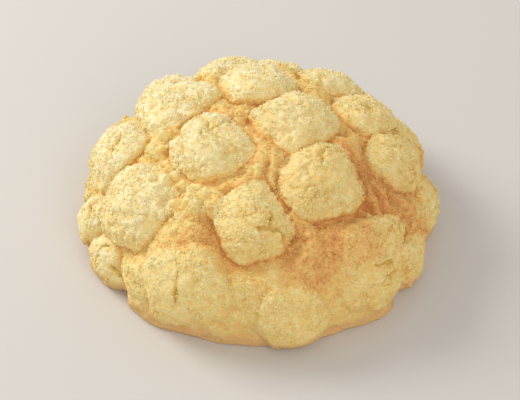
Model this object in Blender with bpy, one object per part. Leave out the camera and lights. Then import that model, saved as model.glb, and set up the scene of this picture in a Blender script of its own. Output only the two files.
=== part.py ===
"""A melon pan bun: a round of sweet bread under a scored biscuit crust.

The biscuit dough is scored in squares before baking. As the bread rises, the
squares pull apart and puff up into cushions, with creases of crust between them.
The bun is one closed solid that rests on its flat foot at z = 0, in metres, with
+Z up and the middle of its outline over the origin.
"""
import itertools
import math

import bmesh
import bpy
import numpy as np
from mathutils import Vector, noise

MM = 0.001

# The bread under the cushions
BREAD_RADIUS = 52 * MM      # at its widest
BREAD_HEIGHT = 41 * MM
WIDEST_AT = 5 * MM          # height of the widest part above the foot
FOOT_RADIUS = 51 * MM       # the flat underside

# The scored grid, laid over the dome like a sheet of dough
SQUARE = 26 * MM            # one square of the grid after the bread has risen
GRID_TURN = 30              # degrees
GRID_MIDDLE = (9 * MM, -5 * MM)

# How a plain square opens, at the crown and at the foot
HALF_AT_CROWN, HALF_AT_FOOT = 0.48, 0.40        # half size of its cushion, in squares
PUFF_AT_CROWN, PUFF_AT_FOOT = 7.2 * MM, 5.2 * MM
LAST_MIDDLE = 72.5 * MM     # cushions have their middles no further from the crown
GRID_REACH = 3              # squares looked at each way from the middle one
CHANCE = 3                  # seed of the small slides and turns that all squares have
CHANCE_SLIDE, CHANCE_TURN = 0.6 * MM, 5         # and the most they come to, in degrees
LOW_PUFF = 0.8              # of a cushion with a soft edge

# Squares that opened differently, judged by eye beside a plain grid: how far each slid
# along and across the grid, in squares, and its length and width beside a plain one
OPENED = {
    # on and around the crown
    (0, 0): (0.125, -0.125, 1.05, 1.0),
    (0, 1): (0, -0.25, 1.1, 1.0),
    (1, 0): (0.25, -0.125, 1.1, 0.95),
    (0, -1): (0.125, 0, 0.95, 0.95),
    (-1, 0): (0.125, -0.25, 0.95, 1.0),
    (-1, 1): (0, -0.125, 0.9, 0.95),
    (-1, -1): (0.125, -0.25, 1.2, 1.05),
    (1, 1): (0.25, -0.375, 1.25, 0.85),
    (1, -1): (0.25, 0, 1.0, 1.0),
    # on the shoulders
    (0, -2): (0.25, 0, 1.0, 1.0),
    (-1, -2): (0.25, 0, 1.0, 1.0),
    (-2, -1): (0.25, -0.25, 1.2, 1.0),
    (-2, 0): (0, -0.25, 1.2, 1.15),
    (0, 2): (0.25, -0.25, 1.25, 1.15),
    # around the foot
    (-3, -1): (0.375, 0, 0.75, 1.0),
    (-3, 0): (0.125, -0.375, 1.0, 0.9),
    (-2, 1): (0, 0, 1.2, 1.0),
    (-1, 2): (0, 0, 0.95, 0.9),
    (1, 2): (0.125, -0.125, 0.8, 0.9),
    (-2, -2): (0.25, -0.25, 0.85, 0.85),
}
# These run into the bread around them with no sharp edge
SOFT_EDGED = {(-2, 1), (-1, 2), (0, 2)}
# Small scraps that tore off where squares met: place on the grid in squares, then half
# length, half width and rise in millimetres, and turn in degrees
SCRAPS = {
    (-2.5, 0.5): (9, 8, 5, 0),
    (-0.5, 0.25): (8, 6, 4, 15),
    (-0.75, 0.5): (6, 5, 3, 15),
    (0.5, 0.5): (4, 6, 4, 15),
    (-0.5, -0.5): (8, 5, 3, -15),
    (-1.25, -0.75): (5, 5, 4, 0),
    (-1.5, 0.25): (6, 5, 4, 30),
    (-1.25, 0.5): (5, 4, 4, 60),
    (-1.5, -0.25): (4, 6, 3, 0),
    (-0.5, 1.25): (4, 8, 4, -15),
    (1.25, 1.5): (6, 8, 4, 0),
    (0.5, 1): (4, 9, 3, 0),
    (-1.75, 0.5): (8, 6, 3, 15),
}
# Squares that barely opened: low, soft swells of the crust, given the same way
SWELLS = {
    (-1.5, 1.5): (14, 12, 1.6, 0),
    (-0.5, 1.5): (14, 9, 1.2, 0),
    (0.5, 2.5): (18, 9, 2.0, 30),
    (-3, 1): (12, 9, 1.5, 0),
    (0.75, 1.25): (9, 14, 0.8, 0),
}

SQUARENESS = 2.6            # outline of a cushion: 2 is an ellipse, more is squarer
TOP_FULLNESS = 2.1          # more makes a flatter top
SIDE_STEEPNESS = 1.75       # more makes a steeper side
BULGE = 0.04                # how far a side leans out over its crease, as a share
CREASE_DEPTH = 1.2 * MM     # beside a cushion the skin lies this far into the bread
SKIN_SWELL = 3.4 * MM       # and this much further out midway between cushions
SKIN_RUN = 4.5 * MM
CREASE_WIDTH = 0.6 * MM
SCRAP_WIDTH = 1.4 * MM      # the same beside a scrap
SOFT_SIDE = 0.5             # more lets a soft edged cushion fade out sooner
GROOVE_DEPTH = 2.4 * MM     # where two cushions press together
GROOVE_WIDTH = 1.1 * MM
LUMP_SIZE, LUMP_SHIFT = 13 * MM, 2.1 * MM       # hand-made unevenness of the outlines
RIPPLE_SIZE, RIPPLE_SHIFT = 5 * MM, 0.8 * MM
DENT_SIZE, DENT_DEPTH = 7 * MM, 0.6 * MM        # shallow dents all over
CLEFT_SPACING, CLEFT_PATCH = 8 * MM, 14 * MM
CLEFT_DEPTH, CLEFT_WIDTH = 0.8 * MM, 0.12

# The mesh
ROUGH_BALL = 7              # subdivisions of the ball the bun is shaped from
UNDERSIDE_FROM = math.radians(140)      # this far round the ball becomes the foot
GRAIN = 0.8 * MM            # the skin is laid again in even facets of this size
FLAT_BELOW = 0.5 * MM       # whatever lies lower than this rests on the plate
FACETS = 8800               # triangles of the finished solid
noise.seed_set(5)           # the unevenness is the same every time


def side_of_bread(steps=600):
    """Run down the side of the bread from the crown to the foot.

    Gives the distance gone along the skin, the radius and height there, and the
    outward direction as its radial and upward parts.
    """
    above = np.linspace(0, math.pi / 2, steps)
    dome = BREAD_HEIGHT - WIDEST_AT
    below = np.linspace(0, 1, steps // 10)[1:]
    tuck = BREAD_RADIUS - FOOT_RADIUS
    radius = np.r_[BREAD_RADIUS * np.sin(above),
                   FOOT_RADIUS + tuck * np.sqrt(1 - below ** 2)]
    height = np.r_[WIDEST_AT + dome * np.cos(above), WIDEST_AT * (1 - below)]
    outward = np.r_[np.sin(above) / BREAD_RADIUS, np.ones_like(below)]
    upward = np.r_[np.cos(above) / dome, -below * tuck / WIDEST_AT]
    length = np.hypot(outward, upward)
    gone = np.r_[0, np.cumsum(np.hypot(np.diff(radius), np.diff(height)))]
    return gone, radius, height, outward / length, upward / length


SIDE = side_of_bread()
SKIN_LENGTH = SIDE[0][-1]   # from the crown to the foot along the skin


def on_bread(gone, azimuth):
    """Points on the bread's skin and the outward direction at each of them."""
    radius, height, outward, upward = (np.interp(gone, SIDE[0], row) for row in SIDE[1:])
    point = np.stack([radius * np.cos(azimuth), radius * np.sin(azimuth), height], -1)
    out = np.stack([outward * np.cos(azimuth), outward * np.sin(azimuth), upward], -1)
    return point, out / np.linalg.norm(out, axis=-1, keepdims=True)


def grid_directions():
    """The two directions of the scored grid, seen from above."""
    turn = math.radians(GRID_TURN)
    along = np.array([math.cos(turn), math.sin(turn), 0.0])
    across = np.array([math.sin(turn), -math.cos(turn), 0.0])
    return along, across


def spot_on_grid(place):
    """A place on the flat sheet of dough, in metres from the crown."""
    along, across = grid_directions()
    return np.array(GRID_MIDDLE) + SQUARE * (place[0] * along + place[1] * across)[:2]


def seat_of(place, turn):
    """Where a cushion sits on the bread: its middle, outward direction and two sides."""
    along, _ = grid_directions()
    spot = spot_on_grid(place)
    middle, out = on_bread(np.hypot(*spot), math.atan2(spot[1], spot[0]))
    side = along - (along @ out) * out
    side /= np.linalg.norm(side)
    other = np.cross(side, out)
    angle = math.radians(turn)
    return (middle, out,
            math.cos(angle) * side + math.sin(angle) * other,
            math.cos(angle) * other - math.sin(angle) * side)


def cushions_of_grid():
    """The cushions, by their places on the grid in squares.

    Each has its half length, half width and rise in millimetres, its turn in degrees,
    and whether its edge is soft. They get smaller and lower from the crown to the foot.
    """
    pick = np.random.default_rng(CHANCE)
    cushions = {}
    for square in itertools.product(range(-GRID_REACH, GRID_REACH + 1), repeat=2):
        slide_along, slide_across, turn = pick.uniform(-1, 1, 3)
        along, across, length, width = OPENED.get(square, (0, 0, 1, 1))
        place = (square[0] + along + slide_along * CHANCE_SLIDE / SQUARE,
                 square[1] + across + slide_across * CHANCE_SLIDE / SQUARE)
        down = np.hypot(*spot_on_grid(place)) / LAST_MIDDLE
        if down > 1:
            continue
        half = SQUARE / MM * (HALF_AT_CROWN + (HALF_AT_FOOT - HALF_AT_CROWN) * down)
        puff = (PUFF_AT_CROWN + (PUFF_AT_FOOT - PUFF_AT_CROWN) * down) / MM
        soft = square in SOFT_EDGED
        cushions[place] = (half * length, half * width, puff * (LOW_PUFF if soft else 1),
                           turn * CHANCE_TURN, soft)
    return cushions


CUSHIONS = cushions_of_grid()


def uneven(points, size, shift, seed):
    """Move points about by a smooth random amount."""
    moved = [noise.noise_vector(Vector(p) / size + Vector((seed, 0, 0))) for p in points]
    return points + np.array(moved) * shift


def soft_max(first, second, blend):
    """The larger of two heights, with a rounded change from one to the other."""
    share = np.clip(0.5 + 0.5 * (first - second) / blend, 0, 1)
    return second * (1 - share) + first * share + blend * share * (1 - share)


def reach_of(points, place, numbers):
    """How far points lie from a cushion's middle, where 1 is its edge.

    Also gives the sideways steps from its middle, and which points share its side
    of the bun.
    """
    half_u, half_v, _, turn = numbers[:4]
    middle, normal, side, other = seat_of(place, turn)
    from_middle = points - middle
    u, v = from_middle @ side, from_middle @ other
    reach = (np.abs(u / (half_u * MM)) ** SQUARENESS
             + np.abs(v / (half_v * MM)) ** SQUARENESS) ** (1 / SQUARENESS)
    sideways = u[:, None] * side + v[:, None] * other
    return reach, sideways, from_middle @ normal > -SQUARE


def crust(points, out):
    """Lift points of the bread's skin to the surface of the crust."""
    felt = uneven(points, LUMP_SIZE, LUMP_SHIFT, 3.1)
    felt = uneven(felt, RIPPLE_SIZE, RIPPLE_SHIFT, 8.7)
    # the skin between the cushions
    to_cushion = np.full(len(points), SKIN_RUN)
    firm = {place: numbers for place, numbers in CUSHIONS.items() if not numbers[4]}
    for place, numbers in firm.items():
        reach, _, same_side = reach_of(felt, place, numbers)
        gap = (reach - 1) * min(numbers[:2]) * MM
        to_cushion = np.where(same_side, np.minimum(to_cushion, gap), to_cushion)
    away = np.clip(to_cushion / SKIN_RUN, 0, 1)
    rise = SKIN_SWELL * away * away * (3 - 2 * away) - CREASE_DEPTH
    for place, numbers in SWELLS.items():
        reach, _, same_side = reach_of(felt, place, numbers)
        rise += numbers[2] * MM * np.clip(1 - reach ** 2, 0, 1) ** 2 * same_side
    for place in [place for place in CUSHIONS if place not in firm]:
        reach, _, same_side = reach_of(felt, place, CUSHIONS[place])
        puff = np.clip(1 - reach ** TOP_FULLNESS, 0, 1) ** SOFT_SIDE
        rise += CUSHIONS[place][2] * MM * puff * same_side
    # the cushions
    skin = rise.copy()
    top, next_top = skin.copy(), skin.copy()
    lean = np.zeros_like(points)
    for place, numbers in {**firm, **SCRAPS}.items():
        reach, sideways, same_side = reach_of(felt, place, numbers)
        puff = np.clip(1 - reach ** TOP_FULLNESS, 0, 1) ** (1 / SIDE_STEEPNESS)
        inside = same_side & (reach < 1)
        height = np.where(inside, numbers[2] * MM * puff - CREASE_DEPTH,
                          -CREASE_DEPTH - 2 * MM * np.clip(reach - 1, 0, 1))
        edge = np.clip(1 - np.abs(reach - 0.9) / 0.1, 0, 1) * BULGE
        mine = inside & (height > rise)
        lean[mine] = (edge[:, None] * sideways)[mine]
        rise = soft_max(height, rise, SCRAP_WIDTH if place in SCRAPS else CREASE_WIDTH)
        if place in firm:
            next_top = np.maximum(next_top, np.minimum(top, height))
            top = np.maximum(top, height)
    pressed = np.clip((next_top - skin) / MM, 0, 1)
    rise -= GROOVE_DEPTH * pressed * np.exp((next_top - top) / GROOVE_WIDTH)
    # shallow clefts that wander over everything and part it into lobes
    wander = np.array([noise.noise(Vector(p)) for p in felt / CLEFT_SPACING])
    patch = np.array([noise.noise(Vector(p)) for p in points / CLEFT_PATCH])
    rise -= (CLEFT_DEPTH * np.exp(-np.abs(wander) / CLEFT_WIDTH)
             * np.clip(0.4 + 2 * patch, 0, 1))
    rise += DENT_DEPTH * np.array([noise.noise(Vector(p)) for p in points / DENT_SIZE])
    return points + out * rise[:, None] + lean


def shape_bun(ball):
    """Turn the points of a unit ball into the bun, with its flat foot at z = 0."""
    down = np.arccos(np.clip(ball[:, 2], -1, 1))
    azimuth = np.arctan2(ball[:, 1], ball[:, 0])
    skin, out = on_bread(np.minimum(SKIN_LENGTH * down / UNDERSIDE_FROM, SKIN_LENGTH),
                         azimuth)
    bun = crust(skin, out)
    bun[:, 2] = np.maximum(bun[:, 2], 0)
    # the underside closes in from the rim to the middle
    rim, rim_out = on_bread(np.full(len(ball), SKIN_LENGTH), azimuth)
    rim = crust(rim, rim_out)
    inward = np.clip((math.pi - down) / (math.pi - UNDERSIDE_FROM), 0, 1)
    under = down >= UNDERSIDE_FROM
    bun[under] = (rim * inward[:, None] * np.array([1, 1, 0]))[under]
    return bun


def crust_material():
    """Pale golden biscuit crust."""
    material = bpy.data.materials.new("biscuit_crust")
    material.use_nodes = True
    shader = material.node_tree.nodes["Principled BSDF"]
    shader.inputs["Base Color"].default_value = (0.76, 0.56, 0.22, 1)
    shader.inputs["Roughness"].default_value = 0.75
    return material


def settled(bun, modifiers):
    """Mesh of the object after some modifiers, which are then taken off again."""
    for kind, settings in modifiers:
        modifier = bun.modifiers.new(kind.lower(), kind)
        for name, value in settings.items():
            setattr(modifier, name, value)
    depsgraph = bpy.context.evaluated_depsgraph_get()
    mesh = bpy.data.meshes.new_from_object(bun.evaluated_get(depsgraph))
    bun.modifiers.clear()
    return mesh


def make_bun():
    """One closed solid, thinned to a modest number of facets."""
    shaped = bmesh.new()
    bmesh.ops.create_icosphere(shaped, subdivisions=ROUGH_BALL, radius=1.0)
    ball = np.array([v.co for v in shaped.verts])
    ball /= np.linalg.norm(ball, axis=1, keepdims=True)
    for vert, place in zip(shaped.verts, shape_bun(ball)):
        vert.co = place
    mesh = bpy.data.meshes.new("bun")
    shaped.to_mesh(mesh)
    shaped.free()
    bun = bpy.data.objects.new("bun", mesh)
    bpy.context.scene.collection.objects.link(bun)
    bun.data = settled(bun, [("REMESH", {"mode": "VOXEL", "voxel_size": GRAIN}),
                             ("SMOOTH", {"factor": 0.5, "iterations": 3})])
    triangles = sum(len(face.vertices) - 2 for face in bun.data.polygons)
    bun.data = settled(bun, [("DECIMATE", {"ratio": FACETS / triangles})])
    corners = np.array([vert.co for vert in bun.data.vertices])
    middle = (corners.min(axis=0) + corners.max(axis=0)) / 2
    for vert in bun.data.vertices:
        vert.co.x -= middle[0]
        vert.co.y -= middle[1]
        if vert.co.z < FLAT_BELOW:
            vert.co.z = 0
    bun.data.name = "bun"
    bun.data.materials.append(crust_material())


for old in list(bpy.data.objects):
    bpy.data.objects.remove(old, do_unlink=True)
make_bun()
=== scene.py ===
"""The looks of a melon pan bun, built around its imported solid.

A fine skin of biscuit crust stands for the plain solid. It is shaped the same way,
then gets its crumbs, wrinkles and tears, and a scatter of sugar.
"""
import itertools
import math

import bmesh
import bpy
import numpy as np
from mathutils import Matrix, Vector, noise


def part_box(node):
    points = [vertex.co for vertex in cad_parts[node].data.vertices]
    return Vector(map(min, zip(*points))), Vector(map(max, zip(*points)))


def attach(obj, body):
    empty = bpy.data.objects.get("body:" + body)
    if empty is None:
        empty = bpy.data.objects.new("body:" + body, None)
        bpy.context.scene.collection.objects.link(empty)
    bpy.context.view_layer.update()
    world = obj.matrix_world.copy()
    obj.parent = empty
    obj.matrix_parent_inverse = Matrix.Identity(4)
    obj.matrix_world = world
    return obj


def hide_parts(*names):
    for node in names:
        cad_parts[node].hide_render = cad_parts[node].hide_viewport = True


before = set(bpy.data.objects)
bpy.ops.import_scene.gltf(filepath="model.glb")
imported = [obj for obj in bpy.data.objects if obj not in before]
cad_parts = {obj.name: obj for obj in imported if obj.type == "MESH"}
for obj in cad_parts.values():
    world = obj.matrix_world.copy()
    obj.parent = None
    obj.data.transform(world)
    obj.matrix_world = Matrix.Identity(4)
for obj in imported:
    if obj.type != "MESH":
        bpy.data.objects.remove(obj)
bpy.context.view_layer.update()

MM = 0.001

# The bread under the cushions
BREAD_RADIUS = 52 * MM      # at its widest
BREAD_HEIGHT = 41 * MM
WIDEST_AT = 5 * MM          # height of the widest part above the foot
FOOT_RADIUS = 51 * MM       # the flat underside

# The scored grid, laid over the dome like a sheet of dough
SQUARE = 26 * MM            # one square of the grid after the bread has risen
GRID_TURN = 30              # degrees
GRID_MIDDLE = (9 * MM, -5 * MM)

# How a plain square opens, at the crown and at the foot
HALF_AT_CROWN, HALF_AT_FOOT = 0.48, 0.40        # half size of its cushion, in squares
PUFF_AT_CROWN, PUFF_AT_FOOT = 7.2 * MM, 5.2 * MM
LAST_MIDDLE = 72.5 * MM     # cushions have their middles no further from the crown
GRID_REACH = 3              # squares looked at each way from the middle one
CHANCE = 3                  # seed of the small slides and turns that all squares have
CHANCE_SLIDE, CHANCE_TURN = 0.6 * MM, 5         # and the most they come to, in degrees
LOW_PUFF = 0.8              # of a cushion with a soft edge

# Squares that opened differently, judged beside a plain grid: how far each slid
# along and across the grid, in squares, and its length and width beside a plain one
OPENED = {
    # on and around the crown
    (0, 0): (0.125, -0.125, 1.05, 1.0),
    (0, 1): (0, -0.25, 1.1, 1.0),
    (1, 0): (0.25, -0.125, 1.1, 0.95),
    (0, -1): (0.125, 0, 0.95, 0.95),
    (-1, 0): (0.125, -0.25, 0.95, 1.0),
    (-1, 1): (0, -0.125, 0.9, 0.95),
    (-1, -1): (0.125, -0.25, 1.2, 1.05),
    (1, 1): (0.25, -0.375, 1.25, 0.85),
    (1, -1): (0.25, 0, 1.0, 1.0),
    # on the shoulders
    (0, -2): (0.25, 0, 1.0, 1.0),
    (-1, -2): (0.25, 0, 1.0, 1.0),
    (-2, -1): (0.25, -0.25, 1.2, 1.0),
    (-2, 0): (0, -0.25, 1.2, 1.15),
    (0, 2): (0.25, -0.25, 1.25, 1.15),
    # around the foot
    (-3, -1): (0.375, 0, 0.75, 1.0),
    (-3, 0): (0.125, -0.375, 1.0, 0.9),
    (-2, 1): (0, 0, 1.2, 1.0),
    (-1, 2): (0, 0, 0.95, 0.9),
    (1, 2): (0.125, -0.125, 0.8, 0.9),
    (-2, -2): (0.25, -0.25, 0.85, 0.85),
}
# These run into the bread around them with no sharp edge
SOFT_EDGED = {(-2, 1), (-1, 2), (0, 2)}
# Small scraps that tore off where squares met: place on the grid in squares, then half
# length, half width and rise in millimetres, and turn in degrees
SCRAPS = {
    (-2.5, 0.5): (9, 8, 5, 0),
    (-0.5, 0.25): (8, 6, 4, 15),
    (-0.75, 0.5): (6, 5, 3, 15),
    (0.5, 0.5): (4, 6, 4, 15),
    (-0.5, -0.5): (8, 5, 3, -15),
    (-1.25, -0.75): (5, 5, 4, 0),
    (-1.5, 0.25): (6, 5, 4, 30),
    (-1.25, 0.5): (5, 4, 4, 60),
    (-1.5, -0.25): (4, 6, 3, 0),
    (-0.5, 1.25): (4, 8, 4, -15),
    (1.25, 1.5): (6, 8, 4, 0),
    (0.5, 1): (4, 9, 3, 0),
    (-1.75, 0.5): (8, 6, 3, 15),
}
# Squares that barely opened: low, soft swells of the crust, given the same way
SWELLS = {
    (-1.5, 1.5): (14, 12, 1.6, 0),
    (-0.5, 1.5): (14, 9, 1.2, 0),
    (0.5, 2.5): (18, 9, 2.0, 30),
    (-3, 1): (12, 9, 1.5, 0),
    (0.75, 1.25): (9, 14, 0.8, 0),
}

SQUARENESS = 2.6            # outline of a cushion: 2 is an ellipse, more is squarer
TOP_FULLNESS = 2.1          # more makes a flatter top
SIDE_STEEPNESS = 1.75       # more makes a steeper side
BULGE = 0.04                # how far a side leans out over its crease, as a share
CREASE_DEPTH = 1.2 * MM     # beside a cushion the skin lies this far into the bread
SKIN_SWELL = 3.4 * MM       # and this much further out midway between cushions
SKIN_RUN = 4.5 * MM
CREASE_WIDTH = 0.6 * MM
SCRAP_WIDTH = 1.4 * MM      # the same beside a scrap
SOFT_SIDE = 0.5             # more lets a soft edged cushion fade out sooner
GROOVE_DEPTH = 2.4 * MM     # where two cushions press together
GROOVE_WIDTH = 1.1 * MM
LUMP_SIZE, LUMP_SHIFT = 13 * MM, 2.1 * MM       # hand-made unevenness of the outlines
RIPPLE_SIZE, RIPPLE_SHIFT = 5 * MM, 0.8 * MM
DENT_SIZE, DENT_DEPTH = 7 * MM, 0.6 * MM        # shallow dents all over
CLEFT_SPACING, CLEFT_PATCH = 8 * MM, 14 * MM
CLEFT_DEPTH, CLEFT_WIDTH = 0.8 * MM, 0.12

# The fine skin
ROUGH_BALL = 7              # subdivisions of the ball the bun is shaped from
UNDERSIDE_FROM = math.radians(140)      # this far round the ball becomes the foot
GRAIN = 0.47 * MM           # size of the skin's facets before it is thinned
FINE_FACETS = 196000
PLAIN_FOOT = 45 * MM        # the underside is left plain out to this radius
noise.seed_set(5)           # the unevenness is the same every time

# Tears over the cushions, made by chance: how many on one, and their steps in squares
TEAR_CHANCE = 4
MOST_TEARS = 2
TEAR_STEP, TEAR_STEPS = 0.12, 3
TEAR_SPREAD = 0.25          # how far from a cushion's middle they start
TEAR_BEND = 0.6             # radians from step to step
TEAR_DEPTH, CRACK_DEPTH = 1.2, 0.45     # millimetres, of a tear and of a fine crack
# Sharp bits all over the crust, and the clumps where it is crumbly
BIT_SIZE, CLUMP_SIZE = 1.8 * MM, 3.6 * MM
# Where the crust is crumbly, folded or baked browner, as judged: place on the grid
# in squares, radius in millimetres, and strength where it is less than full
CRUMBLY = [((-1.5, 0.25), 11), ((-1.25, -0.75), 8), ((-1.5, -0.25), 8),
           ((-0.5, -0.5), 9, 0.7), ((-1.25, 0.5), 8, 0.6)]
FOLDED = [((0.75, 1.25), 14), ((0.5, 0.5), 8, 0.6), ((-0.5, 0.5), 8, 0.5)]
BROWNED = [((-0.5, 1.5), 12, 0.55), ((0.75, 1.25), 13, 1.0), ((0.25, 1.5), 8, 0.8),
           ((-0.5, -0.5), 10, 0.35), ((0.5, 1), 9, 0.6),
           ((-1.5, 0.75), 11, 0.45), ((0.5, 0.5), 7, 0.5)]
# Where cushions are toasted as well as the skin between them
TOASTED = [((0, 1.5), 9), ((2, 0.5), 11, 0.8), ((0.5, 0.75), 6), ((1.25, 1.5), 6, 0.6)]

# Crumbs baked onto the crust, and the sugar
CRUMBS = 9000
CRUMB_SIZE = (0.25 * MM, 0.55 * MM)     # from its middle to its outside
CRUMB_RAISED, CRUMB_SUGAR_AND_HIGHLIGHT = 0.85, 0.5   # least height mark, and share of the sugar and painted highlight
BATCH = 60                  # bits made at a time, which is quicker than all at once
SUGAR_GRAINS = 2400
SUGAR_SIZE = (0.22 * MM, 0.40 * MM)

# What is marked at every point of the crust, for its colours
MARKS = ("baked", "raised", "sugar_and_highlight", "pitted", "torn", "toasted")
CRUST_GLOW, CRUMB_GLOW = 0.35, 0.0      # how much light sinks in

# The table, the lights and the camera: sizes in metres, angles in degrees
TABLE_SIZE = 3
AIM = (0, 0, 0.02)
LIGHTS = {                  # place, size, power and colour
    "window": ((-0.66, 0.35, 0.52), 0.45, 5.7, (1, 0.98, 0.94)),
    "bounce": ((0.3, -0.7, 0.6), 0.6, 2.7, (1, 0.97, 0.93)),
}
CAMERA_HIGH, CAMERA_LEAN = 42.5, 1
CAMERA_AWAY, CAMERA_UP = 0.468, 0.007
LENS, SENSOR = 104, 36      # millimetres


def side_of_bread(steps=600):
    """Run down the side of the bread from the crown to the foot.

    Gives the distance gone along the skin, the radius and height there, and the
    outward direction as its radial and upward parts.
    """
    above = np.linspace(0, math.pi / 2, steps)
    dome = BREAD_HEIGHT - WIDEST_AT
    below = np.linspace(0, 1, steps // 10)[1:]
    tuck = BREAD_RADIUS - FOOT_RADIUS
    radius = np.r_[BREAD_RADIUS * np.sin(above),
                   FOOT_RADIUS + tuck * np.sqrt(1 - below ** 2)]
    height = np.r_[WIDEST_AT + dome * np.cos(above), WIDEST_AT * (1 - below)]
    outward = np.r_[np.sin(above) / BREAD_RADIUS, np.ones_like(below)]
    upward = np.r_[np.cos(above) / dome, -below * tuck / WIDEST_AT]
    length = np.hypot(outward, upward)
    gone = np.r_[0, np.cumsum(np.hypot(np.diff(radius), np.diff(height)))]
    return gone, radius, height, outward / length, upward / length


SIDE = side_of_bread()
SKIN_LENGTH = SIDE[0][-1]   # from the crown to the foot along the skin


def on_bread(gone, azimuth):
    """Points on the bread's skin and the outward direction at each of them."""
    radius, height, outward, upward = (np.interp(gone, SIDE[0], row) for row in SIDE[1:])
    point = np.stack([radius * np.cos(azimuth), radius * np.sin(azimuth), height], -1)
    out = np.stack([outward * np.cos(azimuth), outward * np.sin(azimuth), upward], -1)
    return point, out / np.linalg.norm(out, axis=-1, keepdims=True)


def grid_directions():
    """The two directions of the scored grid, seen from above."""
    turn = math.radians(GRID_TURN)
    along = np.array([math.cos(turn), math.sin(turn), 0.0])
    across = np.array([math.sin(turn), -math.cos(turn), 0.0])
    return along, across


def spot_on_grid(place):
    """A place on the flat sheet of dough, in metres from the crown."""
    along, across = grid_directions()
    return np.array(GRID_MIDDLE) + SQUARE * (place[0] * along + place[1] * across)[:2]


def seat_of(place, turn):
    """Where a cushion sits on the bread: its middle, outward direction and two sides."""
    along, _ = grid_directions()
    spot = spot_on_grid(place)
    middle, out = on_bread(np.hypot(*spot), math.atan2(spot[1], spot[0]))
    side = along - (along @ out) * out
    side /= np.linalg.norm(side)
    other = np.cross(side, out)
    angle = math.radians(turn)
    return (middle, out,
            math.cos(angle) * side + math.sin(angle) * other,
            math.cos(angle) * other - math.sin(angle) * side)


def cushions_of_grid():
    """The cushions, by their places on the grid in squares.

    Each has its half length, half width and rise in millimetres, its turn in degrees,
    and whether its edge is soft. They get smaller and lower from the crown to the foot.
    """
    pick = np.random.default_rng(CHANCE)
    cushions = {}
    for square in itertools.product(range(-GRID_REACH, GRID_REACH + 1), repeat=2):
        slide_along, slide_across, turn = pick.uniform(-1, 1, 3)
        along, across, length, width = OPENED.get(square, (0, 0, 1, 1))
        place = (square[0] + along + slide_along * CHANCE_SLIDE / SQUARE,
                 square[1] + across + slide_across * CHANCE_SLIDE / SQUARE)
        down = np.hypot(*spot_on_grid(place)) / LAST_MIDDLE
        if down > 1:
            continue
        half = SQUARE / MM * (HALF_AT_CROWN + (HALF_AT_FOOT - HALF_AT_CROWN) * down)
        puff = (PUFF_AT_CROWN + (PUFF_AT_FOOT - PUFF_AT_CROWN) * down) / MM
        soft = square in SOFT_EDGED
        cushions[place] = (half * length, half * width, puff * (LOW_PUFF if soft else 1),
                           turn * CHANCE_TURN, soft)
    return cushions


CUSHIONS = cushions_of_grid()


def uneven(points, size, shift, seed):
    """Move points about by a smooth random amount."""
    moved = [noise.noise_vector(Vector(p) / size + Vector((seed, 0, 0))) for p in points]
    return points + np.array(moved) * shift


def soft_max(first, second, blend):
    """The larger of two heights, with a rounded change from one to the other."""
    share = np.clip(0.5 + 0.5 * (first - second) / blend, 0, 1)
    return second * (1 - share) + first * share + blend * share * (1 - share)


def reach_of(points, place, numbers):
    """How far points lie from a cushion's middle, where 1 is its edge.

    Also gives the sideways steps from its middle, and which points share its side
    of the bun.
    """
    half_u, half_v, _, turn = numbers[:4]
    middle, normal, side, other = seat_of(place, turn)
    from_middle = points - middle
    u, v = from_middle @ side, from_middle @ other
    reach = (np.abs(u / (half_u * MM)) ** SQUARENESS
             + np.abs(v / (half_v * MM)) ** SQUARENESS) ** (1 / SQUARENESS)
    sideways = u[:, None] * side + v[:, None] * other
    return reach, sideways, from_middle @ normal > -SQUARE


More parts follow.
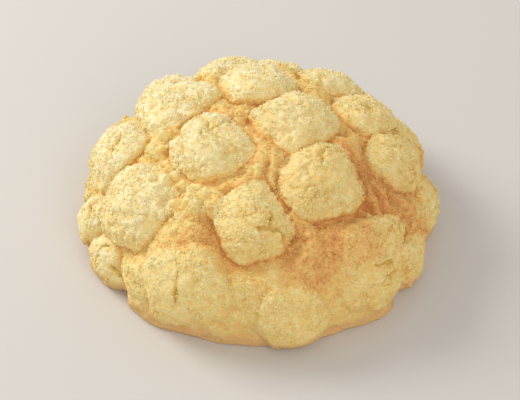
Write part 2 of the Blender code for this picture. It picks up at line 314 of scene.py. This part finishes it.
def crust(points, out):
    """Lift points of the bread's skin to the surface of the crust."""
    felt = uneven(points, LUMP_SIZE, LUMP_SHIFT, 3.1)
    felt = uneven(felt, RIPPLE_SIZE, RIPPLE_SHIFT, 8.7)
    # the skin between the cushions
    to_cushion = np.full(len(points), SKIN_RUN)
    firm = {place: numbers for place, numbers in CUSHIONS.items() if not numbers[4]}
    for place, numbers in firm.items():
        reach, _, same_side = reach_of(felt, place, numbers)
        gap = (reach - 1) * min(numbers[:2]) * MM
        to_cushion = np.where(same_side, np.minimum(to_cushion, gap), to_cushion)
    away = np.clip(to_cushion / SKIN_RUN, 0, 1)
    rise = SKIN_SWELL * away * away * (3 - 2 * away) - CREASE_DEPTH
    for place, numbers in SWELLS.items():
        reach, _, same_side = reach_of(felt, place, numbers)
        rise += numbers[2] * MM * np.clip(1 - reach ** 2, 0, 1) ** 2 * same_side
    for place in [place for place in CUSHIONS if place not in firm]:
        reach, _, same_side = reach_of(felt, place, CUSHIONS[place])
        puff = np.clip(1 - reach ** TOP_FULLNESS, 0, 1) ** SOFT_SIDE
        rise += CUSHIONS[place][2] * MM * puff * same_side
    # the cushions
    skin = rise.copy()
    top, next_top = skin.copy(), skin.copy()
    lean = np.zeros_like(points)
    for place, numbers in {**firm, **SCRAPS}.items():
        reach, sideways, same_side = reach_of(felt, place, numbers)
        puff = np.clip(1 - reach ** TOP_FULLNESS, 0, 1) ** (1 / SIDE_STEEPNESS)
        inside = same_side & (reach < 1)
        height = np.where(inside, numbers[2] * MM * puff - CREASE_DEPTH,
                          -CREASE_DEPTH - 2 * MM * np.clip(reach - 1, 0, 1))
        edge = np.clip(1 - np.abs(reach - 0.9) / 0.1, 0, 1) * BULGE
        mine = inside & (height > rise)
        lean[mine] = (edge[:, None] * sideways)[mine]
        rise = soft_max(height, rise, SCRAP_WIDTH if place in SCRAPS else CREASE_WIDTH)
        if place in firm:
            next_top = np.maximum(next_top, np.minimum(top, height))
            top = np.maximum(top, height)
    pressed = np.clip((next_top - skin) / MM, 0, 1)
    rise -= GROOVE_DEPTH * pressed * np.exp((next_top - top) / GROOVE_WIDTH)
    # shallow clefts that wander over everything and part it into lobes
    wander = np.array([noise.noise(Vector(p)) for p in felt / CLEFT_SPACING])
    patch = np.array([noise.noise(Vector(p)) for p in points / CLEFT_PATCH])
    rise -= (CLEFT_DEPTH * np.exp(-np.abs(wander) / CLEFT_WIDTH)
             * np.clip(0.4 + 2 * patch, 0, 1))
    rise += DENT_DEPTH * np.array([noise.noise(Vector(p)) for p in points / DENT_SIZE])
    return points + out * rise[:, None] + lean


def shape_bun(ball):
    """Turn the points of a unit ball into the bun, with its flat foot at z = 0."""
    down = np.arccos(np.clip(ball[:, 2], -1, 1))
    azimuth = np.arctan2(ball[:, 1], ball[:, 0])
    skin, out = on_bread(np.minimum(SKIN_LENGTH * down / UNDERSIDE_FROM, SKIN_LENGTH),
                         azimuth)
    bun = crust(skin, out)
    bun[:, 2] = np.maximum(bun[:, 2], 0)
    # the underside closes in from the rim to the middle
    rim, rim_out = on_bread(np.full(len(ball), SKIN_LENGTH), azimuth)
    rim = crust(rim, rim_out)
    inward = np.clip((math.pi - down) / (math.pi - UNDERSIDE_FROM), 0, 1)
    under = down >= UNDERSIDE_FROM
    bun[under] = (rim * inward[:, None] * np.array([1, 1, 0]))[under]
    return bun


def place_on_bread(points):
    """How far down the bread's skin each point lies, and its azimuth."""
    radius = np.hypot(points[:, 0], points[:, 1])
    gone = np.empty(len(points))
    for start in range(0, len(points), 4000):
        some = slice(start, start + 4000)
        apart = (radius[some, None] - SIDE[1]) ** 2 + (points[some, 2, None] - SIDE[2]) ** 2
        gone[some] = SIDE[0][apart.argmin(axis=1)]
    return gone, np.arctan2(points[:, 1], points[:, 0])


def spot_on_bread(place):
    """A place on the grid, in squares, as a point on the bread's skin."""
    return seat_of(place, 0)[0]


def near(points, places):
    """How strongly points belong to any of the places: 1 well inside, 0 outside."""
    share = np.zeros(len(points))
    for place, radius, *strength in places:
        apart = np.linalg.norm(points - spot_on_bread(place), axis=1) / (radius * MM)
        mine = step(1, 0.5, apart)
        share = np.maximum(share, mine * (strength[0] if strength else 1))
    return share


def smooth_noise(points, size, seed=0.0):
    """Smooth noise from about -1 to 1 with blobs of the given size."""
    scaled = points / size + np.array([seed, 0, 0])
    return np.array([noise.noise(Vector(p)) for p in scaled])


def to_cell_middle(points, size, seed=0.0):
    """How far each point lies from the nearest random cell middle, in cells."""
    scaled = points / size + np.array([seed, 0, 0])
    return np.array([noise.voronoi(Vector(p))[0][0] for p in scaled])


def step(low, high, values):
    """0 below low, 1 above high and smooth in between."""
    share = np.clip((values - low) / (high - low), 0, 1)
    return share * share * (3 - 2 * share)


def crust_parts(points):
    """What lies at each point of the bread's skin.

    Gives how much of it is cushion, how high up a cushion it is, how far it is from
    a crease, and how soft the cushion there is.
    """
    felt = uneven(points, LUMP_SIZE, LUMP_SHIFT, 3.1)
    felt = uneven(felt, RIPPLE_SIZE, RIPPLE_SHIFT, 8.7)
    nearest = np.full(len(points), 9.0)
    edge = np.full(len(points), SKIN_RUN)
    next_edge = edge.copy()
    soft = np.zeros(len(points))
    for place, numbers in CUSHIONS.items():
        reach, _, same_side = reach_of(felt, place, numbers)
        gap = np.where(same_side, (reach - 1) * min(numbers[:2]) * MM, SKIN_RUN)
        closer = gap < edge
        next_edge = np.where(closer, edge, np.minimum(next_edge, gap))
        soft = np.where(closer, float(numbers[4]), soft)
        nearest = np.where(closer, reach, nearest)
        edge = np.minimum(edge, gap)
    on_cushion = step(-0.3 * MM, 0.3 * MM, -edge)
    up = np.clip(1 - nearest ** TOP_FULLNESS, 0, 1) * on_cushion
    crease = np.where(edge < 0, np.exp(edge / (0.3 * MM)), np.exp(-edge / (0.9 * MM)))
    crease = np.maximum(crease, np.exp(-np.abs(edge - next_edge) / (0.8 * MM))
                        * (next_edge < 0)) * (1 - 0.8 * soft)
    return on_cushion, up, crease, soft


def tear_runs():
    """Bent runs over the cushions, in squares, where the crust tore as it puffed up."""
    pick = np.random.default_rng(TEAR_CHANCE)
    runs = []
    for place in CUSHIONS:
        for _ in range(pick.integers(0, MOST_TEARS + 1)):
            run = [np.array(place) + pick.uniform(-TEAR_SPREAD, TEAR_SPREAD, 2)]
            heading = pick.uniform(0, math.tau)
            for _ in range(TEAR_STEPS):
                heading += pick.normal() * TEAR_BEND
                run.append(run[-1] + TEAR_STEP * np.array([math.cos(heading),
                                                           math.sin(heading)]))
            runs.append(run)
    return runs


def tears_at(points):
    """How deep in a tear each point is, from 0 to 1."""
    jagged = uneven(points, 3 * MM, 1.0 * MM, 21.3)
    jagged = uneven(jagged, 1.2 * MM, 0.5 * MM, 4.9)
    deep = np.zeros(len(points))
    for places in tear_runs():
        bends = [spot_on_bread(place) for place in places]
        length = sum(np.linalg.norm(end - start) for start, end in zip(bends, bends[1:]))
        wide = np.clip(0.12 * length, 0.4 * MM, 0.62 * MM)
        for number, (start, end) in enumerate(zip(bends, bends[1:])):
            run = end - start
            share = np.clip((jagged - start) @ run / (run @ run), 0, 1)
            apart = np.linalg.norm(jagged - start - share[:, None] * run, axis=1)
            along = (number + share) / (len(bends) - 1)
            width = wide * (0.4 + 0.6 * np.sin(math.pi * along))
            deep = np.maximum(deep, np.clip(1.3 - apart / width, 0, 1))
    return deep


def cracks_at(points, up):
    """How deep in a fine crack each point is, from 0 to 1, in patches on the cushions."""
    jagged = uneven(points, 2.5 * MM, 1.0 * MM, 6.0)
    line = np.exp(-np.abs(smooth_noise(jagged, 5.5 * MM, 8.0)) / 0.045)
    return line * step(0.0, 0.25, smooth_noise(points, 8 * MM, 15.0)) * step(0.1, 0.4, up)


def folds_at(points):
    """Folds of skin that run down the side: 1 on a ridge, below 0 in between."""
    gone, azimuth = place_on_bread(points)
    sheet = np.stack([azimuth * 45 * MM / (5 * MM), gone / (14 * MM), gone * 0], -1)
    sheet[:, 0] += 0.5 * smooth_noise(points, 6 * MM, 11.0) + 0.6 * gone / (10 * MM)
    return np.array([1 - 3 * abs(noise.noise(Vector(p))) for p in sheet])


def fine_relief(points, skin, parts):
    """Height of crumbs, wrinkles and tears over the smooth crust, in metres."""
    on_cushion, up, _, soft = parts
    crumbly, folded = near(skin, CRUMBLY), near(skin, FOLDED)
    rough = 0.5 + 0.5 * step(-0.3, 0.2, smooth_noise(points, 9 * MM, 2.0))
    rough *= 1 - 0.35 * soft
    relief = 0.35 * smooth_noise(points, 3.2 * MM, 5.0)
    relief += rough * 0.35 * smooth_noise(points, 1.3 * MM, 7.0)
    # rounded crumbs with sharp gaps, and bigger clumps where the dough tore
    ragged = uneven(points, 1.5 * MM, 0.6 * MM, 1.0)
    relief += rough * 1.0 * (0.2 - np.abs(smooth_noise(ragged, 3.8 * MM, 27.0)))
    relief += rough * 0.65 * (0.5 - to_cell_middle(ragged, BIT_SIZE, 3.0))
    clumps = 1.5 - 2.9 * to_cell_middle(ragged, CLUMP_SIZE, 5.0)
    relief += crumbly * clumps * (1 - 0.7 * step(0.3, 0.8, up))
    between = 1 - on_cushion
    relief += between * (0.1 + 1.5 * folded) * folds_at(points)
    relief += between * 0.4 * smooth_noise(points, 3.5 * MM, 13.0)
    relief -= TEAR_DEPTH * tears_at(skin)
    relief -= CRACK_DEPTH * cracks_at(points, up)
    return relief * MM


def browning(points, skin, parts, normals):
    """How brown the crust is at each point, from 0, pale, to 1, brown."""
    on_cushion, up, crease, _ = parts
    inner = step(62 * MM, 48 * MM, place_on_bread(points)[0])
    brown = 0.20 + 0.18 * inner * (1 - on_cushion) - 0.06 * step(0, 0.3, up)
    # browner in the creases: the broad part is the thin dough there baking darker, and the
    # narrow dark line along each crease is painted shade
    brown += 0.24 * crease + 0.50 * crease ** 4
    # browner towards the right and the front, the side turned away from the window light:
    # painted shade
    brown += 0.12 * (0.8 * points[:, 0] - 0.6 * points[:, 1]) / BREAD_RADIUS
    brown -= 0.2 * near(skin, CRUMBLY) * (1 - 0.5 * on_cushion)
    brown += 0.5 * near(skin, BROWNED) * (1 - 0.8 * step(0.02, 0.4, up))
    brown += 0.34 * near(skin, TOASTED)
    brown += 0.5 * near(skin, FOLDED) * (1 - on_cushion) * step(0.4, -0.6, folds_at(points))
    brown += 0.10 * smooth_noise(points, 12 * MM, 31.0)
    brown += 0.08 * smooth_noise(points, 4 * MM, 33.0)
    brown += 0.08 * step(-0.5, 0.4, -normals[:, 2])
    return np.clip(brown, 0, 1)


def foot_rim(points):
    """How much each point belongs to the toasted rim along the foot."""
    ragged = points[:, 2] + 1.3 * MM * smooth_noise(points, 4 * MM, 35.0)
    return step(-6.5 * MM, -3.0 * MM, -ragged)


def settled(bun, modifiers):
    """Mesh of the object after some modifiers, which are then taken off again."""
    for kind, settings in modifiers:
        modifier = bun.modifiers.new(kind.lower(), kind)
        for name, value in settings.items():
            setattr(modifier, name, value)
    depsgraph = bpy.context.evaluated_depsgraph_get()
    mesh = bpy.data.meshes.new_from_object(bun.evaluated_get(depsgraph))
    bun.modifiers.clear()
    return mesh


def plain_underside(mesh):
    """Make the flat middle of the underside one simple face fan."""
    shaped = bmesh.new()
    shaped.from_mesh(mesh)
    flat = [face for face in shaped.faces
            if all(v.co.z < 0.3 * MM and v.co.xy.length < PLAIN_FOOT for v in face.verts)]
    bmesh.ops.delete(shaped, geom=flat, context="FACES")
    rim = [edge for edge in shaped.edges if edge.is_boundary]
    made = bmesh.ops.holes_fill(shaped, edges=rim, sides=0)
    bmesh.ops.triangulate(shaped, faces=made["faces"])
    bmesh.ops.recalc_face_normals(shaped, faces=shaped.faces[:])
    shaped.to_mesh(mesh)
    shaped.free()


def read_points(mesh):
    flat = np.empty(len(mesh.vertices) * 3)
    mesh.vertices.foreach_get("co", flat)
    return flat.reshape(-1, 3)


def read_normals(mesh):
    flat = np.empty(len(mesh.vertices) * 3, np.float32)
    mesh.vertex_normals.foreach_get("vector", flat)
    return flat.reshape(-1, 3).astype(float)


def make_crust():
    """The fine crust that stands for the plain solid."""
    shaped = bmesh.new()
    bmesh.ops.create_icosphere(shaped, subdivisions=ROUGH_BALL, radius=1.0)
    ball = np.array([v.co for v in shaped.verts])
    ball /= np.linalg.norm(ball, axis=1, keepdims=True)
    for vert, place in zip(shaped.verts, shape_bun(ball)):
        vert.co = place
    mesh = bpy.data.meshes.new("bun_crust")
    shaped.to_mesh(mesh)
    shaped.free()
    crust_piece = bpy.data.objects.new("bun_crust", mesh)
    bpy.context.scene.collection.objects.link(crust_piece)
    mesh = settled(crust_piece, [("REMESH", {"mode": "VOXEL", "voxel_size": GRAIN}),
                                 ("SMOOTH", {"factor": 0.5, "iterations": 5})])
    plain_underside(mesh)
    crust_piece.data = mesh
    points, normals = read_points(mesh), read_normals(mesh)
    gone, azimuth = place_on_bread(points)
    skin, _ = on_bread(gone, azimuth)
    parts = crust_parts(skin)
    above = step(0.4 * MM, 2.0 * MM, points[:, 2])
    relief = fine_relief(points, skin, parts) * above
    brown = browning(points, skin, parts, normals)
    _, up, _, soft = parts
    marks = {
        "baked": brown,
        "raised": np.clip(0.5 + relief / (1.0 * MM), 0, 1),
        # sugar on the upward faces of the cushions, and a painted highlight: much more of it
        # towards the back left, the side that faces the window light
        "sugar_and_highlight": step(0.02, 0.3, up) * (1 - 0.5 * soft) * step(-0.2, 0.7, normals[:, 2])
        * np.clip(0.65 - 0.7 * (points[:, 0] - points[:, 1]) / BREAD_RADIUS, 0.15, 1.3),
        "pitted": np.clip(near(skin, BROWNED + TOASTED) + 0.25 * soft + 0.06, 0, 1)
        * (1 - 0.6 * step(0.3, 0.8, up) * (1 - soft)),
        "torn": np.maximum(tears_at(skin), 0.7 * cracks_at(points, up)),
        "toasted": foot_rim(points),
    }
    points = points + normals * relief[:, None]
    mesh.vertices.foreach_set("co", points.ravel())
    for name, values in marks.items():
        mesh.attributes.new(name, "FLOAT", "POINT").data.foreach_set("value", values)
    triangles = sum(len(face.vertices) - 2 for face in mesh.polygons)
    mesh = settled(crust_piece, [("DECIMATE", {"ratio": FINE_FACETS / triangles})])
    crust_piece.data = mesh
    points = read_points(mesh)
    low, high = (np.array(corner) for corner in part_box("bun"))
    own_low, own_high = points.min(axis=0), points.max(axis=0)
    points = low + (points - own_low) * (high - low) / (own_high - own_low)
    mesh.vertices.foreach_set("co", points.ravel())
    mesh.shade_smooth()
    mesh.name = "bun_crust"
    return crust_piece


def read_mark(mesh, name):
    values = np.empty(len(mesh.vertices))
    mesh.attributes[name].data.foreach_get("value", values)
    return values


def scatter(name, count, sizes, chosen, crust_piece, pick, shape):
    """One mesh of many small bits, half sunk in the crust at the chosen points."""
    points, normals = read_points(crust_piece.data), read_normals(crust_piece.data)
    mesh = bpy.data.meshes.new(name)
    everything = bmesh.new()
    for batch in np.array_split(chosen, count // BATCH):
        some = bmesh.new()
        for index in batch:
            size = pick.uniform(*sizes)
            turn = Matrix.Rotation(pick.uniform(0, math.tau), 4, Vector(pick.normal(size=3)))
            place = Vector(points[index] + normals[index] * size * 0.1)
            stretch = Matrix.Diagonal((1, pick.uniform(0.7, 1), pick.uniform(0.6, 1), 1))
            shape(some, size, Matrix.Translation(place) @ turn @ stretch)
        some.to_mesh(mesh)
        some.free()
        everything.from_mesh(mesh)
    everything.to_mesh(mesh)
    everything.free()
    piece = bpy.data.objects.new(name, mesh)
    bpy.context.scene.collection.objects.link(piece)
    return piece


def make_crumbs(crust_piece):
    """Crumbs of biscuit baked onto the crust, marked like the crust they sit on."""
    pick = np.random.default_rng(7)
    mesh = crust_piece.data
    points, normals = read_points(mesh), read_normals(mesh)
    patches = np.clip(0.45 + 1.6 * smooth_noise(points, 6 * MM, 43.0), 0.08, 1)
    wanted = patches * step(3 * MM, 14 * MM, points[:, 2]) * step(-0.5, 0.3, normals[:, 2])
    chosen = pick.choice(len(points), CRUMBS, replace=False, p=wanted / wanted.sum())

    def ball(some, size, matrix):
        bmesh.ops.create_icosphere(some, subdivisions=1, radius=size, matrix=matrix)

    piece = scatter("crust_crumbs", CRUMBS, CRUMB_SIZE, chosen, crust_piece, pick, ball)
    corners = len(piece.data.vertices) // CRUMBS
    for name in MARKS:
        values = np.repeat(read_mark(mesh, name)[chosen], corners)
        if name == "raised":
            values = np.maximum(values, CRUMB_RAISED)
        if name == "sugar_and_highlight":
            values = values * CRUMB_SUGAR_AND_HIGHLIGHT
        piece.data.attributes.new(name, "FLOAT", "POINT").data.foreach_set("value", values)
    return piece


def make_sugar(crust_piece):
    """Grains of sugar, half sunk in the tops of the cushions."""
    pick = np.random.default_rng(11)
    mesh = crust_piece.data
    points = read_points(mesh)
    patches = np.clip(0.2 + 1.6 * smooth_noise(points, 6 * MM, 41.0), 0.03, 1)
    # the grains follow the mark of sugar and painted highlight, so they lie thicker towards the
    # back left, where the window light falls
    wanted = read_mark(mesh, "sugar_and_highlight") * patches
    chosen = pick.choice(len(points), SUGAR_GRAINS, replace=False, p=wanted / wanted.sum())

    def cube(some, size, matrix):
        bmesh.ops.create_cube(some, size=size, matrix=matrix)

    return scatter("sugar_grains", SUGAR_GRAINS, SUGAR_SIZE, chosen, crust_piece, pick, cube)


def add_node(tree, kind, inputs=(), **settings):
    """A node with its settings and inputs: a value, or the socket that feeds it."""
    node = tree.nodes.new(kind)
    for name, value in settings.items():
        setattr(node, name, value)
    for key, value in dict(inputs).items():
        if isinstance(value, bpy.types.NodeSocket):
            tree.links.new(value, node.inputs[key])
        else:
            node.inputs[key].default_value = value
    return node


def mix(tree, share, first, second, blend="MIX"):
    """Two colours mixed by a share."""
    node = add_node(tree, "ShaderNodeMix", {0: share, 6: first, 7: second},
                    data_type="RGBA", blend_type=blend)
    return node.outputs[2]


def calc(tree, operation, first, second=0.0, clamp=False):
    """Two values worked out by one operation."""
    return add_node(tree, "ShaderNodeMath", {0: first, 1: second}, operation=operation,
                    use_clamp=clamp).outputs[0]


def ramp(tree, value, stops):
    """A colour ramp from (position, colour) stops."""
    node = add_node(tree, "ShaderNodeValToRGB", {0: value})
    line = node.color_ramp
    while len(line.elements) < len(stops):
        line.elements.new(0.5)
    for element, (position, colour) in zip(line.elements, stops):
        element.position = position
        element.color = (*colour, 1)
    return node.outputs[0]


def spread(tree, value, low, high, to_low=0.0, to_high=1.0):
    """A value moved from one range to another, and kept inside it."""
    return add_node(tree, "ShaderNodeMapRange",
                    {0: value, 1: low, 2: high, 3: to_low, 4: to_high}).outputs[0]


def noise_at(tree, place, size, detail=2.0, roughness=0.5):
    """Noise from 0 to 1 with blobs of a real size."""
    return add_node(tree, "ShaderNodeTexNoise",
                    {"Vector": place, "Scale": 1 / size, "Detail": detail,
                     "Roughness": roughness}).outputs[0]


def crumb_group():
    """Fine biscuit crumb: its height, and the light and dark of its grains, which is their own
    tone at random and painted shade in the gaps between them.
    """
    group = bpy.data.node_groups.new("biscuit_crumb", "ShaderNodeTree")
    for name, kind in (("Place", "NodeSocketVector"), ("Coarseness", "NodeSocketFloat")):
        group.interface.new_socket(name, in_out="INPUT", socket_type=kind)
    for name in ("Height", "Shade"):
        group.interface.new_socket(name, in_out="OUTPUT", socket_type="NodeSocketFloat")
    given = group.nodes.new("NodeGroupInput")
    result = group.nodes.new("NodeGroupOutput")
    place = given.outputs["Place"]
    bit = add_node(group, "ShaderNodeTexVoronoi",
                   {"Vector": place, "Scale": 1 / (0.6 * MM), "Randomness": 1.0})
    fine = calc(group, "SUBTRACT", 1.0, bit.outputs["Distance"])
    coarse = noise_at(group, place, 1.4 * MM, 3.0, 0.6)
    both = add_node(group, "ShaderNodeMix",
                    {0: given.outputs["Coarseness"], 2: fine, 3: coarse}).outputs[0]
    group.links.new(both, result.inputs["Height"])
    own = add_node(group, "ShaderNodeSeparateColor", {0: bit.outputs["Color"]}).outputs[0]
    # each grain gets a random tone, and its middle comes out paler and its gaps darker: painted
    # shade
    shade = calc(group, "ADD", calc(group, "MULTIPLY", own, 0.5), coarse)
    shade = spread(group, calc(group, "ADD", shade, calc(group, "MULTIPLY", fine, 0.4)),
                   0.65, 1.35)
    group.links.new(shade, result.inputs["Shade"])
    return group


# Colours of the crust from palest to most baked
BAKED = [
    (0.00, (0.86, 0.72, 0.33)),
    (0.25, (0.84, 0.64, 0.235)),
    (0.50, (0.83, 0.54, 0.17)),
    (0.75, (0.78, 0.43, 0.13)),
    (1.00, (0.66, 0.30, 0.08)),
]


def crust_material(crumb, material_name, glow):
    """Biscuit crust, browned by the baked mark and paled by the mark of sugar and painted
    highlight.
    """
    material = bpy.data.materials.new(material_name)
    material.use_nodes = True
    tree = material.node_tree
    shader = tree.nodes["Principled BSDF"]
    place = add_node(tree, "ShaderNodeTexCoord").outputs["Object"]

    def mark(name):
        return add_node(tree, "ShaderNodeAttribute", attribute_name=name).outputs["Fac"]

    grain = add_node(tree, "ShaderNodeGroup", node_tree=crumb)
    tree.links.new(place, grain.inputs["Place"])
    grain.inputs["Coarseness"].default_value = 0.5
    mottle = calc(tree, "SUBTRACT", noise_at(tree, place, 2.2 * MM, 3.0), 0.5)
    baked = calc(tree, "ADD", mark("baked"), calc(tree, "MULTIPLY", mottle, 0.5))
    grain_tone_and_gap_shade = calc(tree, "SUBTRACT", grain.outputs["Shade"], 0.5)
    baked = calc(tree, "SUBTRACT", baked, calc(tree, "MULTIPLY", grain_tone_and_gap_shade, 0.42))
    # painted shade in the hollows: low parts of the relief are made more baked and golden, and
    # high parts paler
    low = calc(tree, "SUBTRACT", 0.5, mark("raised"))
    baked = calc(tree, "ADD", baked, calc(tree, "MULTIPLY", low, 0.3), clamp=True)
    colour = ramp(tree, baked, BAKED)
    # sugar melted into the surface, and a painted highlight: the pale mix grows towards the
    # back left, the side that faces the window light
    sugar_and_highlight_share = spread(tree, noise_at(tree, place, 0.55 * MM, 2.0, 0.7), 0.38, 0.6)
    sugar_and_highlight_share = calc(tree, "MULTIPLY", sugar_and_highlight_share, mark("sugar_and_highlight"))
    sugar_and_highlight_share = calc(tree, "MULTIPLY", sugar_and_highlight_share, spread(tree, mark("raised"), 0.3, 0.7, 0.3, 1.0))
    colour = mix(tree, calc(tree, "MULTIPLY", sugar_and_highlight_share, 0.75), colour, (0.95, 0.89, 0.68, 1))
    # the toasted rim along the foot
    colour = mix(tree, calc(tree, "MULTIPLY", mark("toasted"), 0.85), colour,
                 (0.72, 0.43, 0.17, 1))
    # short hair cracks
    crack = calc(tree, "SUBTRACT", noise_at(tree, place, 3.5 * MM, 2.0), 0.5)
    crack = spread(tree, calc(tree, "ABSOLUTE", crack), 0.022, 0.006)
    kept = spread(tree, noise_at(tree, place, 4 * MM, 1.0), 0.58, 0.66)
    crack = calc(tree, "MULTIPLY", crack, kept)
    colour = mix(tree, calc(tree, "MULTIPLY", crack, 0.4), colour, (0.76, 0.52, 0.09, 1))
    # pores
    pore = add_node(tree, "ShaderNodeTexVoronoi", {"Vector": place, "Scale": 1 / (1.2 * MM)})
    spot = spread(tree, pore.outputs["Distance"], 0.27, 0.14)
    kept = add_node(tree, "ShaderNodeSeparateColor", {0: pore.outputs["Color"]}).outputs[0]
    spot = calc(tree, "MULTIPLY", spot, calc(tree, "GREATER_THAN", kept, 0.25))
    spot = calc(tree, "MULTIPLY", spot, mark("pitted"))
    colour = mix(tree, calc(tree, "MULTIPLY", spot, 0.8), colour, (0.50, 0.23, 0.03, 1))
    colour = mix(tree, calc(tree, "MULTIPLY", mark("torn"), 0.8), colour,
                 (0.70, 0.45, 0.07, 1))
    tree.links.new(colour, shader.inputs["Base Color"])
    tree.links.new(spread(tree, grain.outputs["Shade"], 0, 1, 0.85, 0.6),
                   shader.inputs["Roughness"])
    height = calc(tree, "SUBTRACT", grain.outputs["Height"],
                  calc(tree, "MULTIPLY", spot, 0.15))
    bump = add_node(tree, "ShaderNodeBump", {"Height": height, "Strength": 0.9,
                                             "Distance": 0.4 * MM})
    tree.links.new(bump.outputs[0], shader.inputs["Normal"])
    shader.inputs["Subsurface Weight"].default_value = glow
    shader.inputs["Subsurface Radius"].default_value = (1.0, 0.6, 0.2)
    shader.inputs["Subsurface Scale"].default_value = 2 * MM
    return material


def sugar_material():
    """Cream white sugar."""
    material = bpy.data.materials.new("sugar")
    material.use_nodes = True
    tree = material.node_tree
    shader = tree.nodes["Principled BSDF"]
    place = add_node(tree, "ShaderNodeTexCoord").outputs["Object"]
    tint = ramp(tree, noise_at(tree, place, 1.5 * MM), [(0.35, (0.92, 0.82, 0.52)),
                                                       (0.65, (0.95, 0.89, 0.68))])
    tree.links.new(tint, shader.inputs["Base Color"])
    shader.inputs["Roughness"].default_value = 0.35
    return material


def light_the_table():
    """Soft window light from behind on the left, a pale table, and the camera."""
    bpy.ops.mesh.primitive_plane_add(size=TABLE_SIZE)
    table = bpy.context.object
    table.name = "table"
    paint = bpy.data.materials.new("pale_table")
    paint.use_nodes = True
    shader = paint.node_tree.nodes["Principled BSDF"]
    shader.inputs["Base Color"].default_value = (0.64, 0.615, 0.585, 1)
    shader.inputs["Roughness"].default_value = 0.9
    table.data.materials.append(paint)
    for name, (place, size, power, colour) in LIGHTS.items():
        lamp = bpy.data.lights.new(name, "AREA")
        lamp.size, lamp.energy, lamp.color = size, power, colour
        light = bpy.data.objects.new(name, lamp)
        bpy.context.scene.collection.objects.link(light)
        light.location = place
        light.rotation_euler = (Vector(AIM) - Vector(place)).to_track_quat("-Z", "Y").to_euler()
    world = bpy.data.worlds.new("room")
    bpy.context.scene.world = world
    world.use_nodes = True
    sky = world.node_tree.nodes["Background"]
    sky.inputs["Color"].default_value = (1, 0.98, 0.95, 1)
    sky.inputs["Strength"].default_value = 0.57
    bpy.context.scene.view_settings.view_transform = "Standard"

    lens = bpy.data.cameras.new("camera")
    lens.lens, lens.sensor_width = LENS, SENSOR
    camera = bpy.data.objects.new("camera", lens)
    bpy.context.scene.collection.objects.link(camera)
    high = math.radians(CAMERA_HIGH)
    right = Vector((1, 0, 0))
    up = Vector((0, math.sin(high), math.cos(high)))
    back = Vector((0, -math.cos(high), math.sin(high)))
    camera.location = back * CAMERA_AWAY + up * CAMERA_UP
    lean = Matrix.Rotation(math.radians(CAMERA_LEAN), 3, "Z")
    tilt = Matrix((right, up, back)).transposed() @ lean
    camera.rotation_euler = tilt.to_euler()
    bpy.context.scene.camera = camera


crust_piece = make_crust()
crumb = crumb_group()
crust_piece.data.materials.clear()
crust_piece.data.materials.append(crust_material(crumb, "biscuit_crust", CRUST_GLOW))
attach(crust_piece, "root")
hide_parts("bun")

crumbs = make_crumbs(crust_piece)
crumbs.data.materials.append(crust_material(crumb, "biscuit_crumbs", CRUMB_GLOW))
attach(crumbs, "root")

sugar = make_sugar(crust_piece)
sugar.data.materials.append(sugar_material())
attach(sugar, "root")

light_the_table()
